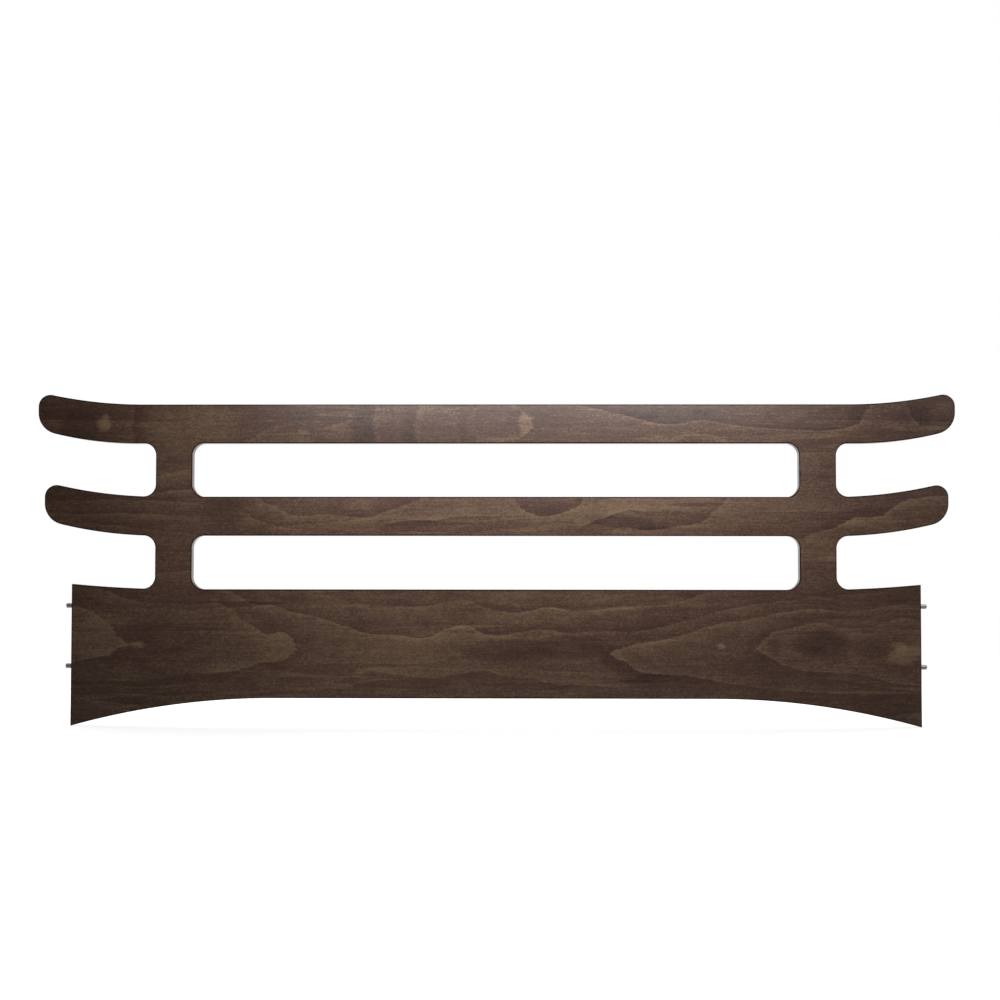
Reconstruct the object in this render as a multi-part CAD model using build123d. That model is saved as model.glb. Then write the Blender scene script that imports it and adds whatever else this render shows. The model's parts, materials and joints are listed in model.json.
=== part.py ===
from build123d import *
import os

# Headboard for a low wooden bed: one board of 17-ply beech plywood, cut to a gateway shape with
# two rails, two posts and a deep lower panel, and four steel pins that stand out of its ends and
# drop into the bed frame. Millimetres; X runs along the headboard, +Z is up, the front faces -Y.
# The origin is under the middle of the board, level with the two lower corners.

# Lengths along the headboard, counted from the end faces of the lower panel
PANEL_LENGTH = 1800.0        # end face to end face, the width of the bed frame
POST_INSET = 177.0           # end face to the outer side of the post
POST_WIDTH = 78.0
TOP_RAIL_OVERHANG = 75.5     # end face to the tip of the top rail
SECOND_RAIL_OVERHANG = 60.0  # end face to the tip of the second rail

# Heights, from the lower corners upwards
ARCH_RISE = 59.0             # lower corners to the crown of the arch under the panel
PANEL_HEIGHT = 230.0         # at mid length
WINDOW_HEIGHT = 114.0        # each of the two openings
RAIL_HEIGHT = 83.0           # each of the two rails

# Curved ends of the long edges. An offset runs from the outer side of the post outwards to the
# point where the edge leaves the straight; a rise is how far it has climbed at the very end.
ARCH_RUN = 432.0             # end face inwards to the straight part of the arch
FLARE_OFFSET = -53.0         # upper edge of the panel
FLARE_RISE = 11.0
TOP_RAIL_UPPER_OFFSET = 27.5
TOP_RAIL_UPPER_RISE = 27.0
TOP_RAIL_LOWER_OFFSET = 42.5
TOP_RAIL_LOWER_RISE = 30.0
SECOND_RAIL_UPPER_OFFSET = -12.0
SECOND_RAIL_UPPER_RISE = 31.5
SECOND_RAIL_LOWER_OFFSET = -2.0
SECOND_RAIL_LOWER_RISE = 33.5

# Corners
INNER_CORNER_RADIUS = 26.0   # where a post meets a rail or the panel
TIP_UPPER_RADIUS = 25.0
TIP_LOWER_RADIUS = 46.0
ARRIS_RADIUS = 2.5           # rounding of the front and back edges

# Plywood
BOARD_THICKNESS = 27.0
PLY_COUNT = 17               # odd, so that the grain of both faces runs along the board

# Steel pins: a head that stands out of the end face and seats on it, and a shank glued into a bore
PIN_HEAD_DIAMETER = 10.0
PIN_HEAD_LENGTH = 14.0
PIN_SHANK_DIAMETER = 9.0
PIN_SHANK_LENGTH = 36.0
PIN_SPACING = 128.0          # between the two pins of one end
PIN_SETBACK = 46.0           # upper corner of the end face down to the upper pin
PIN_TIP_CHAMFER = 1.5
PIN_ROOT_CHAMFER = 0.8
PIN_BOND_GAP = 0.05          # radial room for the adhesive
PIN_BORE_RELIEF = 1.0        # bore past the inner end of the shank

# Worked out from the sizes above
panel_end = PANEL_LENGTH / 2
post_outer = panel_end - POST_INSET
post_inner = post_outer - POST_WIDTH
panel_top = ARCH_RISE + PANEL_HEIGHT
second_rail_bottom = panel_top + WINDOW_HEIGHT
second_rail_top = second_rail_bottom + RAIL_HEIGHT
top_rail_bottom = second_rail_top + WINDOW_HEIGHT
top_rail_top = top_rail_bottom + RAIL_HEIGHT
upper_pin_height = panel_top + FLARE_RISE - PIN_SETBACK
pin_heights = {"upper": upper_pin_height, "lower": upper_pin_height - PIN_SPACING}
ply_thickness = BOARD_THICKNESS / PLY_COUNT

# A corner's rounding leaves some straight edge beside it, whatever the sizes above
inner_corner_radius = min(INNER_CORNER_RADIUS, 0.45 * WINDOW_HEIGHT)
tip_upper_radius = min(TIP_UPPER_RADIUS, 0.32 * RAIL_HEIGHT)
tip_lower_radius = min(TIP_LOWER_RADIUS, 0.56 * RAIL_HEIGHT)
arris_radius = min(ARRIS_RADIUS, 0.45 * BOARD_THICKNESS)


def band(half_length, upper, lower):
    """A level band, mirrored about x = 0, whose two long edges bend towards its square ends.

    upper and lower are (height, bend, rise): the edge is straight at that height as far as bend,
    and from there follows an arc that has climbed by rise at the end of the band.
    """
    upper_z, upper_bend, upper_rise = upper
    lower_z, lower_bend, lower_rise = lower
    upper_start = (upper_bend, upper_z)
    upper_end = (half_length, upper_z + upper_rise)
    lower_start = (lower_bend, lower_z)
    lower_end = (half_length, lower_z + lower_rise)
    edges = [
        Line((0, upper_z), upper_start),
        TangentArc(upper_start, upper_end, tangent=(1, 0)),
        Line(upper_end, lower_end),
        TangentArc(lower_start, lower_end, tangent=(1, 0)),
        Line(lower_start, (0, lower_z)),
        Line((0, lower_z), (0, upper_z)),
    ]
    right_half = make_face(Curve() + edges)
    return right_half + mirror(right_half, about=Plane.YZ)


def rail(overhang, upper, lower):
    """A rail whose ends sweep upwards, with its four tip corners rounded."""
    half_length = panel_end + overhang
    shape = band(half_length, upper, lower)

    def at_tip(vertex):
        return abs(abs(vertex.X) - half_length) < 0.01

    lower_tips = shape.vertices().filter_by(at_tip).sort_by(Axis.Y)[:2]
    shape = fillet(lower_tips, tip_lower_radius)
    upper_tips = shape.vertices().filter_by(at_tip).sort_by(Axis.Y)[-2:]
    return fillet(upper_tips, tip_upper_radius)


def post(side):
    """A post from inside the panel to inside the top rail; side is -1 (left) or 1 (right)."""
    bottom = panel_top - PANEL_HEIGHT / 2
    top = top_rail_top - RAIL_HEIGHT / 2
    middle = side * (post_inner + post_outer) / 2
    return Pos(middle, (bottom + top) / 2) * Rectangle(POST_WIDTH, top - bottom)


def at_post_side(vertex):
    """True for a corner of the outline that lies on one of the four sides of the posts."""
    return any(abs(abs(vertex.X) - x) < 0.01 for x in (post_inner, post_outer))


def outline():
    """The headboard seen from the front, as one face."""
    panel = band(
        panel_end,
        (panel_top, post_outer + FLARE_OFFSET, FLARE_RISE),
        (ARCH_RISE, panel_end - ARCH_RUN, -ARCH_RISE),
    )
    second_rail = rail(
        SECOND_RAIL_OVERHANG,
        (second_rail_top, post_outer + SECOND_RAIL_UPPER_OFFSET, SECOND_RAIL_UPPER_RISE),
        (second_rail_bottom, post_outer + SECOND_RAIL_LOWER_OFFSET, SECOND_RAIL_LOWER_RISE),
    )
    top_rail = rail(
        TOP_RAIL_OVERHANG,
        (top_rail_top, post_outer + TOP_RAIL_UPPER_OFFSET, TOP_RAIL_UPPER_RISE),
        (top_rail_bottom, post_outer + TOP_RAIL_LOWER_OFFSET, TOP_RAIL_LOWER_RISE),
    )
    shape = panel + second_rail + top_rail + post(-1) + post(1)
    corners = shape.vertices().filter_by(at_post_side)
    return fillet(corners, inner_corner_radius)


def along_x(side, x, z):
    """A place on the mid plane of the board whose own Z axis points out of the given end."""
    return Plane(origin=(side * x, 0, z), z_dir=(side, 0, 0)).location


def pin_bores():
    """The four blind bores in the end faces, as solids to cut away."""
    depth = PIN_SHANK_LENGTH + PIN_BORE_RELIEF
    bore = Cylinder(PIN_SHANK_DIAMETER / 2 + PIN_BOND_GAP, 2 * depth)
    places = [along_x(side, panel_end, z) for side in (-1, 1) for z in pin_heights.values()]
    return [place * bore for place in places]


def rounded_board(face):
    """The board in one piece, with the arrises of its front and back rounded."""
    solid = extrude(Plane.XZ * face, amount=BOARD_THICKNESS / 2, both=True)
    arrises = solid.faces().filter_by(Axis.Y).edges()
    return fillet(arrises, arris_radius)


def ply(index, face, whole, bores):
    """Layer number index, counted from 0 at the front, of the board in one piece."""
    front = index * ply_thickness - BOARD_THICKNESS / 2
    back = front + ply_thickness
    if min(front + BOARD_THICKNESS / 2, BOARD_THICKNESS / 2 - back) < arris_radius:
        box = whole.bounding_box()
        slab = Box(box.size.X + 2, ply_thickness, box.size.Z + 2)
        layer = whole & Pos(box.center().X, (front + back) / 2, box.center().Z) * slab
    else:
        layer = Pos(0, back, 0) * extrude(Plane.XZ * face, amount=ply_thickness)
    return layer - bores


def ply_name(index):
    """Node name of a layer: the two faces and every second layer have their grain along X."""
    number = f"ply_{index + 1:02d}"
    if index == 0:
        return number + "_front_face"
    if index == PLY_COUNT - 1:
        return number + "_back_face"
    return number + ("_cross_grain" if index % 2 else "_long_grain")


def pin(side, height):
    """A stepped steel pin, seated on the end face; side is -1 (left) or 1 (right)."""
    head = Cylinder(PIN_HEAD_DIAMETER / 2, PIN_HEAD_LENGTH)
    head = chamfer(head.edges().group_by(Axis.Z)[-1], PIN_TIP_CHAMFER)
    shank = Cylinder(PIN_SHANK_DIAMETER / 2, PIN_SHANK_LENGTH)
    shank = chamfer(shank.edges().group_by(Axis.Z)[0], PIN_ROOT_CHAMFER)
    solid = Pos(0, 0, PIN_HEAD_LENGTH / 2) * head + Pos(0, 0, -PIN_SHANK_LENGTH / 2) * shank
    return along_x(side, panel_end, height) * solid


def write(shape, node):
    export_step(shape, f"parts/{node}.step")


os.makedirs("parts", exist_ok=True)
front_view = outline()
whole_board = rounded_board(front_view)
all_bores = pin_bores()
for layer_index in range(PLY_COUNT):
    write(ply(layer_index, front_view, whole_board, all_bores), ply_name(layer_index))
for end_name, end_side in (("left", -1), ("right", 1)):
    for level, pin_height in pin_heights.items():
        write(pin(end_side, pin_height), f"{end_name}_{level}_pin")
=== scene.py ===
import json
import math
from collections import namedtuple

import bmesh
import bpy
from mathutils import Matrix, Vector


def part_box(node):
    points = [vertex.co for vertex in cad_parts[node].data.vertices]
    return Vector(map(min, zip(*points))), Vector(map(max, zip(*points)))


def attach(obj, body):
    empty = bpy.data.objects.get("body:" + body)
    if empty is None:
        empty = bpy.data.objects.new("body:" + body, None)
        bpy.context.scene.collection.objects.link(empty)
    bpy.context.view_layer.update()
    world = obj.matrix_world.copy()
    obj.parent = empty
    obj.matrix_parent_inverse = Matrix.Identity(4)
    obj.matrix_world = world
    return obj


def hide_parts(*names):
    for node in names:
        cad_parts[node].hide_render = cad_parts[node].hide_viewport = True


bl_info = {
    "name": "Gateway Headboard",
    "version": (1, 0, 0),
    "blender": (4, 5, 0),
    "location": "View3D > Sidebar > Headboard",
    "description": "Dresses a plywood headboard: stained plies, turned steel pins and a plain studio",
    "category": "Add Mesh",
}

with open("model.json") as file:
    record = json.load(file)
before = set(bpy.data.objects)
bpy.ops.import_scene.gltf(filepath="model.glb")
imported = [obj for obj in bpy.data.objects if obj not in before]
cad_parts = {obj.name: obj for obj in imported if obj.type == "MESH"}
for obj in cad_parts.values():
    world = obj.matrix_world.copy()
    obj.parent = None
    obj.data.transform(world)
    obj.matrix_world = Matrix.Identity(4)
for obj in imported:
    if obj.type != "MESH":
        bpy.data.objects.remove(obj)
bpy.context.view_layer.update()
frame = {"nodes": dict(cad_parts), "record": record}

# Read from the fixed frame. Metres; X runs along the headboard, Z is up, the front faces -Y.
PLY_NODES = sorted(name for name in frame["nodes"] if name.startswith("ply_"))
PIN_NODES = sorted(name for name in frame["nodes"] if name.endswith("_pin"))
MOUNTS = {mount["name"]: mount for mount in frame["record"]["mounts"]}
PIN_HEIGHTS = sorted({m["pos_m"][2] for m in MOUNTS.values() if m["kind"] == "pin"})
PANEL_END = MOUNTS["right_end_face"]["pos_m"][0]
TOP_RAIL_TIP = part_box(PLY_NODES[len(PLY_NODES) // 2])[1].x
BOARD_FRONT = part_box(PLY_NODES[0])[0].y
BOARD_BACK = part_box(PLY_NODES[-1])[1].y
PLY_THICKNESS = (BOARD_BACK - BOARD_FRONT) / len(PLY_NODES)

BEND_STEP = 0.012                # length of one facet on the long bends
CORNER_STEP = math.radians(4)    # angle of one facet on a rounded corner
WELD = 2e-6                      # points nearer than this are one point
BRIGHT_LINE = 0.0035             # width of the bright line on a ring boundary
BORE_SIDES = 64                  # facets round a pin bore
ARRIS_STEPS = 8                  # facets through a ply that carries an arris
SMOOTH_ANGLE = math.radians(30)  # edges sharper than this are shaded sharp
FLAT = 0.9999                    # a face that looks this squarely along Y is shaded flat
LACQUER_ROUGHNESS = 0.42         # satin lacquer on the faces
EDGE_ROUGHNESS = 0.25            # sanded and lacquered edges


def length(name, description, default):
    """A length in metres that the user may change."""
    return bpy.props.FloatProperty(name=name, description=description, default=default,
                                   min=0.0, unit="LENGTH", subtype="DISTANCE", precision=4)


def linear(hex_code):
    """A linear colour from an sRGB hex value."""
    parts = [int(hex_code[i:i + 2], 16) / 255 for i in (1, 3, 5)]
    levels = [p / 12.92 if p <= 0.04045 else ((p + 0.055) / 1.055) ** 2.4 for p in parts]
    return (*levels, 1.0)


def colour(name, description, hex_code):
    """A colour that the user may change, given as sRGB hex."""
    return bpy.props.FloatVectorProperty(name=name, description=description, subtype="COLOR",
                                         size=4, min=0.0, max=1.0, default=linear(hex_code))


class HeadboardSizes(bpy.types.PropertyGroup):
    """Sizes of the board's outline. Their defaults are those of the solid plies."""

    post_inset: length("Post inset", "End face of the panel to the outer side of a post", 0.177)
    post_width: length("Post width", "Width of each post", 0.078)
    second_overhang: length("Second rail overhang", "End face of the panel to the rail's tip", 0.060)
    arch_rise: length("Arch rise", "Lower corners to the crown of the arch", 0.059)
    arch_run: length("Arch run", "Length of the arch's bent end", 0.432)
    panel_height: length("Panel height", "Height of the panel at mid length", 0.230)
    window_height: length("Window height", "Height of each opening", 0.114)
    rail_height: length("Rail height", "Height of each rail", 0.083)
    flare_run: length("Flare run", "Length of the bent end of the panel's upper edge", 0.230)
    flare_rise: length("Flare rise", "Climb of the panel's upper edge", 0.011)
    top_upper_run: length("Top rail, upper run", "Length of the upper edge's bent end", 0.225)
    top_upper_rise: length("Top rail, upper rise", "Climb of the upper edge", 0.027)
    top_lower_run: length("Top rail, lower run", "Length of the lower edge's bent end", 0.210)
    top_lower_rise: length("Top rail, lower rise", "Climb of the lower edge", 0.030)
    second_upper_run: length("Second rail, upper run", "Length of the upper edge's bent end", 0.249)
    second_upper_rise: length("Second rail, upper rise", "Climb of the upper edge", 0.0315)
    second_lower_run: length("Second rail, lower run", "Length of the lower edge's bent end", 0.239)
    second_lower_rise: length("Second rail, lower rise", "Climb of the lower edge", 0.0335)
    inner_radius: length("Inner corner radius", "Rounding beside a post", 0.026)
    tip_upper_radius: length("Tip upper radius", "Upper rounding of a rail's tip", 0.025)
    tip_lower_radius: length("Tip lower radius", "Lower rounding of a rail's tip", 0.046)
    arris_radius: length("Arris radius", "Rounding of the front and back edges", 0.0025)
    bore: length("Pin bore", "Diameter of the blind bores for the pins", 0.0091)
    bore_depth: length("Bore depth", "Depth of the blind bores", 0.037)


class HeadboardFinish(bpy.types.PropertyGroup):
    """Colours of the stain, the steel and the studio."""

    stain_dark: colour("Stain, late wood", "Dense wood, where the stain lies darkest", "#3E2A25")
    stain_mid: colour("Stain, body", "The stain on plain wood", "#5B4337")
    stain_light: colour("Stain, early wood", "Open wood, where the stain stays thin", "#7E6650")
    end_grain: colour("Edge, end grain", "Ply edge cut across its fibres", "#3A2822")
    side_grain: colour("Edge, side grain", "Ply edge cut along its fibres", "#6B5544")
    glue: colour("Glue line", "Resin between two plies", "#2A1C18")
    steel: colour("Steel", "Turned steel of the pins", "#D2D0CC")
    floor_bounce: colour("Floor bounce", "Colour that the floor throws onto the board", "#94918E")


# The board's outline

Bend = namedtuple("Bend", "start level radius")


def bend(level, start, end, rise):
    """A long edge: level as far as start, then an arc that has climbed by rise at end."""
    return Bend(start, level, ((end - start) ** 2 + rise ** 2) / (2 * rise))


def bend_height(edge, x):
    """Height of a long edge at x."""
    if x <= edge.start:
        return edge.level
    fall = math.sqrt(edge.radius ** 2 - (x - edge.start) ** 2)
    return edge.level + edge.radius - math.copysign(fall, edge.radius)


def follow(edge, x_from, x_to):
    """Points along a long edge, close together on its arc only."""
    count = max(1, math.ceil(abs(x_to - x_from) / BEND_STEP))
    xs = [x_from + (x_to - x_from) * i / count for i in range(count + 1)]
    xs = [x for i, x in enumerate(xs) if x > edge.start + BEND_STEP / 2 or i in (0, count)]
    if min(x_from, x_to) < edge.start < max(x_from, x_to):
        xs = sorted(xs + [edge.start], reverse=x_from > x_to)
    return [(x, bend_height(edge, x)) for x in xs]


def corner(edge, upright, radius, outward, above):
    """The rounding between a long edge and an upright line, from the edge to the upright.

    outward is 1 if the rounding's centre lies beyond the upright and -1 if it lies before it;
    above is 1 if the centre lies above the edge and -1 if it lies below.
    """
    centre_x = upright + outward * radius
    if centre_x <= edge.start:
        centre = Vector((centre_x, edge.level + above * radius))
        touch = Vector((centre_x, edge.level))
    else:
        middle = Vector((edge.start, edge.level + edge.radius))
        reach = edge.radius - above * radius
        fall = math.sqrt(reach ** 2 - (centre_x - edge.start) ** 2)
        centre = Vector((centre_x, middle.y - fall))
        touch = middle + (centre - middle) * edge.radius / reach
    first = (touch - centre).normalized()
    last = Vector((-outward, 0.0))
    turn = math.atan2(first.cross(last), first.dot(last))
    count = max(2, math.ceil(abs(turn) / CORNER_STEP))
    rotations = [Matrix.Rotation(turn * i / count, 2) for i in range(count + 1)]
    return [tuple(centre + radius * (rotation @ first)) for rotation in rotations]


def half_outline(s):
    """The right half of the board's outer edge, from the crown of the arch up to the top rail."""
    post_outer = PANEL_END - s.post_inset
    panel_top = s.arch_rise + s.panel_height
    second_bottom = panel_top + s.window_height
    second_top = second_bottom + s.rail_height
    top_bottom = second_top + s.window_height
    top_top = top_bottom + s.rail_height
    tip = PANEL_END + s.second_overhang
    arch = bend(s.arch_rise, PANEL_END - s.arch_run, PANEL_END, -s.arch_rise)
    flare = bend(panel_top, PANEL_END - s.flare_run, PANEL_END, s.flare_rise)
    second_lower = bend(second_bottom, tip - s.second_lower_run, tip, s.second_lower_rise)
    second_upper = bend(second_top, tip - s.second_upper_run, tip, s.second_upper_rise)
    top_lower = bend(top_bottom, TOP_RAIL_TIP - s.top_lower_run, TOP_RAIL_TIP, s.top_lower_rise)
    top_upper = bend(top_top, TOP_RAIL_TIP - s.top_upper_run, TOP_RAIL_TIP, s.top_upper_rise)

    def notch(lower_edge, upper_edge):
        return (corner(lower_edge, post_outer, s.inner_radius, 1, 1),
                corner(upper_edge, post_outer, s.inner_radius, 1, -1)[::-1])

    def rounded_tip(lower_edge, upper_edge, upright):
        return (corner(lower_edge, upright, s.tip_lower_radius, -1, 1)
                + corner(upper_edge, upright, s.tip_upper_radius, -1, -1)[::-1])

    points = follow(arch, 0.0, PANEL_END)
    notch_in, notch_out = notch(flare, second_lower)
    points += follow(flare, PANEL_END, notch_in[0][0])[:-1] + notch_in + notch_out
    second = rounded_tip(second_lower, second_upper, tip)
    points += follow(second_lower, notch_out[-1][0], second[0][0])[1:-1] + second
    notch_in, notch_out = notch(second_upper, top_lower)
    points += follow(second_upper, second[-1][0], notch_in[0][0])[1:-1] + notch_in + notch_out
    top = rounded_tip(top_lower, top_upper, TOP_RAIL_TIP)
    points += follow(top_lower, notch_out[-1][0], top[0][0])[1:-1] + top
    points += follow(top_upper, top[-1][0], 0.0)[1:]
    return points


def half_window(s, bottom):
    """The right half of an opening's edge, from its bottom middle to its top middle."""
    post_inner = PANEL_END - s.post_inset - s.post_width
    sill = Bend(PANEL_END, bottom, 1.0)
    head = Bend(PANEL_END, bottom + s.window_height, 1.0)
    lower = corner(sill, post_inner, s.inner_radius, -1, 1)
    upper = corner(head, post_inner, s.inner_radius, -1, -1)[::-1]
    return [(0.0, bottom)] + lower + upper + [(0.0, bottom + s.window_height)]


def mirrored(half):
    """The closed loop made of a right half and its mirror image."""
    return half + [(-x, z) for x, z in reversed(half) if x > WELD]


def board_loops(s):
    """The board's outer edge and its two openings, each with the wood on its left."""
    first = s.arch_rise + s.panel_height
    second = first + s.window_height + s.rail_height
    windows = [mirrored(half_window(s, bottom))[::-1] for bottom in (first, second)]
    return [mirrored(half_outline(s))] + windows


def inward_steps(loop):
    """For each point of a loop, the mitred step that moves its two edges inwards by one unit."""
    steps = []
    for i, here in enumerate(loop):
        before = (Vector(here) - Vector(loop[i - 1])).normalized()
        after = (Vector(loop[(i + 1) % len(loop)]) - Vector(here)).normalized()
        one, other = (Vector((-way.y, way.x)) for way in (before, after))
        steps.append((one + other) / (1 + one.dot(other)))
    return steps


def outline_mesh(s):
    """The loops as edges in the XY plane, with each point's inward step as an attribute."""
    points, edges, steps = [], [], []
    for loop in board_loops(s):
        first = len(points)
        points += [(x, z, 0.0) for x, z in loop]
        edges += [(first + i, first + (i + 1) % len(loop)) for i in range(len(loop))]
        steps += inward_steps(loop)
    mesh = bpy.data.meshes.new("board_outline")
    mesh.from_pydata(points, edges, [])
    inward = mesh.attributes.new("inward", "FLOAT_VECTOR", "POINT")
    inward.data.foreach_set("vector", [value for step in steps for value in (step.x, step.y, 0.0)])
    return mesh


# Nodes

def add(tree, kind, *values, **named):
    """Adds a node. An upper-case kind is a maths node with that operation. Plain values fill the
    inputs in order, a capitalised name is an input and any other name is a setting. A node or a
    socket given as a value is linked."""
    node = tree.nodes.new("ShaderNodeMath" if kind.isupper() else kind)
    if kind.isupper():
        node.operation = kind
    for key, value in named.items():
        if not key[0].isupper():
            setattr(node, key, value)
    inputs = [socket for socket in node.inputs if socket.enabled]
    by_name = {socket.name: socket for socket in reversed(inputs)}
    pairs = list(zip(inputs, values))
    for key, value in named.items():
        if key[0].isupper():
            pairs.append((by_name[key.replace("_", " ")], value))
    for socket, value in pairs:
        if isinstance(value, bpy.types.Node):
            value = next(output for output in value.outputs if output.enabled)
        if isinstance(value, bpy.types.NodeSocket):
            tree.links.new(value, socket)
        else:
            socket.default_value = value
    return node


def node_tree(name, kind, inputs, outputs):
    """A new node group with these inputs and outputs."""
    tree = bpy.data.node_groups.new(name, kind)
    for label, socket_type, default in inputs:
        socket = tree.interface.new_socket(name=label, in_out="INPUT", socket_type=socket_type)
        if default is not None:
            socket.default_value = default
    for label, socket_type in outputs:
        tree.interface.new_socket(name=label, in_out="OUTPUT", socket_type=socket_type)
    return tree


def ply_tree():
    """Geometry nodes that sweep the outline through one ply and cap both its faces.

    Depths are measured from the middle of the board towards its back. At each depth the outline
    is inset to follow the rounded arris. Ease 1 crowds the steps to the front, -1 to the back.
    """
    tree = node_tree("Ply between two depths", "GeometryNodeTree", [
        ("Outline", "NodeSocketGeometry", None), ("Front", "NodeSocketFloat", -0.0135),
        ("Back", "NodeSocketFloat", -0.0119), ("Half Thickness", "NodeSocketFloat", 0.0135),
        ("Arris Radius", "NodeSocketFloat", 0.0025), ("Steps", "NodeSocketInt", 4),
        ("Ease", "NodeSocketFloat", 0.0), ("Material", "NodeSocketMaterial", None),
    ], [("Ply", "NodeSocketGeometry")])
    given = add(tree, "NodeGroupInput").outputs

    def lift_to(depth):
        """The step from the XY plane to a depth."""
        return add(tree, "ShaderNodeCombineXYZ", Z=add(tree, "MULTIPLY", depth, -1.0))

    def inset_at(depth):
        """How far the outline lies inside its full size at a depth."""
        radius = given["Arris Radius"]
        under_face = add(tree, "SUBTRACT", given["Half Thickness"], add(tree, "ABSOLUTE", depth))
        into = add(tree, "MAXIMUM", add(tree, "SUBTRACT", radius, under_face), 0.0)
        squares = add(tree, "SUBTRACT", add(tree, "POWER", radius, 2.0),
                      add(tree, "POWER", into, 2.0))
        fall = add(tree, "SQRT", add(tree, "MAXIMUM", squares, 0.0))
        return add(tree, "SUBTRACT", radius, fall)

    def inset_spot(depth):
        """Each outline point after the inset, in the XY plane."""
        inward = add(tree, "GeometryNodeInputNamedAttribute", "inward", data_type="FLOAT_VECTOR")
        spot = add(tree, "GeometryNodeInputNamedAttribute", "spot", data_type="FLOAT_VECTOR")
        step = add(tree, "ShaderNodeVectorMath", inward, Scale=inset_at(depth), operation="SCALE")
        return add(tree, "ShaderNodeVectorMath", spot, step, operation="ADD")

    def cap(loops, depth):
        """One face of the ply."""
        flat = add(tree, "GeometryNodeSetPosition", Geometry=loops, Position=inset_spot(depth))
        filled = add(tree, "GeometryNodeFillCurve", Curve=flat)
        return add(tree, "GeometryNodeSetPosition", Geometry=filled, Offset=lift_to(depth))

    curve = add(tree, "GeometryNodeMeshToCurve", given["Outline"])
    spot = add(tree, "GeometryNodeInputPosition")
    loops = add(tree, "GeometryNodeStoreNamedAttribute", Geometry=curve, Name="spot", Value=spot,
                data_type="FLOAT_VECTOR", domain="POINT")
    line = add(tree, "GeometryNodeCurvePrimitiveLine", End=(1.0, 0.0, 0.0))
    count = add(tree, "ADD", given["Steps"], 1)
    line = add(tree, "GeometryNodeResampleCurve", Curve=line, Count=count)
    share = add(tree, "GeometryNodeSplineParameter").outputs["Factor"]
    line = add(tree, "GeometryNodeStoreNamedAttribute", Geometry=line, Name="share", Value=share,
               data_type="FLOAT", domain="POINT")
    wall = add(tree, "GeometryNodeCurveToMesh", loops, line)
    share = add(tree, "GeometryNodeInputNamedAttribute", "share", data_type="FLOAT")
    share = share.outputs["Attribute"]
    bow = add(tree, "SUBTRACT", add(tree, "POWER", share, 2.0), share)
    bow = add(tree, "MULTIPLY", given["Ease"], bow)
    span = add(tree, "SUBTRACT", given["Back"], given["Front"])
    depth = add(tree, "MULTIPLY_ADD", add(tree, "ADD", share, bow), span, given["Front"])
    place = add(tree, "ShaderNodeVectorMath", inset_spot(depth), lift_to(depth), operation="ADD")
    wall = add(tree, "GeometryNodeSetPosition", Geometry=wall, Position=place)
    joined = add(tree, "GeometryNodeJoinGeometry")
    for part in (cap(loops, given["Back"]), cap(loops, given["Front"]), wall):
        tree.links.new(part.outputs[0], joined.inputs[0])
    welded = add(tree, "GeometryNodeMergeByDistance", Geometry=joined, Distance=WELD)
    upright = add(tree, "GeometryNodeTransform", Geometry=welded, Rotation=(math.pi / 2, 0.0, 0.0))
    real = add(tree, "GeometryNodeRealizeInstances", upright)
    painted = add(tree, "GeometryNodeSetMaterial", Geometry=real, Material=given["Material"])
    add(tree, "NodeGroupOutput", painted)
    return tree


def bore_cutter(s):
    """The four blind bores in the end faces, as one mesh to cut away."""
    shape = bmesh.new()
    for side in (-1, 1):
        for height in PIN_HEIGHTS:
            place = (Matrix.Translation((side * PANEL_END, 0.0, height))
                     @ Matrix.Rotation(math.pi / 2, 4, "Y"))
            bmesh.ops.create_cone(shape, cap_ends=True, segments=BORE_SIDES, radius1=s.bore / 2,
                                  radius2=s.bore / 2, depth=2 * s.bore_depth, matrix=place)
    mesh = bpy.data.meshes.new("bore_cutter")
    shape.to_mesh(mesh)
    shape.free()
    return bpy.data.objects.new("bore_cutter", mesh)


def turn_outwards(mesh):
    """Turns the faces of a ply outwards, and stops if it isn't closed."""
    shape = bmesh.new()
    shape.from_mesh(mesh)
    bmesh.ops.recalc_face_normals(shape, faces=shape.faces)
    if any(len(edge.link_faces) != 2 for edge in shape.edges):
        raise RuntimeError(f"{mesh.name} isn't closed")
    shape.to_mesh(mesh)
    shape.free()


def bake(context, piece):
    """Makes the piece's evaluated shape its plain mesh, and takes its modifiers off."""
    evaluated = piece.evaluated_get(context.evaluated_depsgraph_get())
    mesh = bpy.data.meshes.new_from_object(evaluated)
    piece.modifiers.clear()
    piece.data = mesh
    mesh.name = piece.name
    turn_outwards(mesh)


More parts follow.
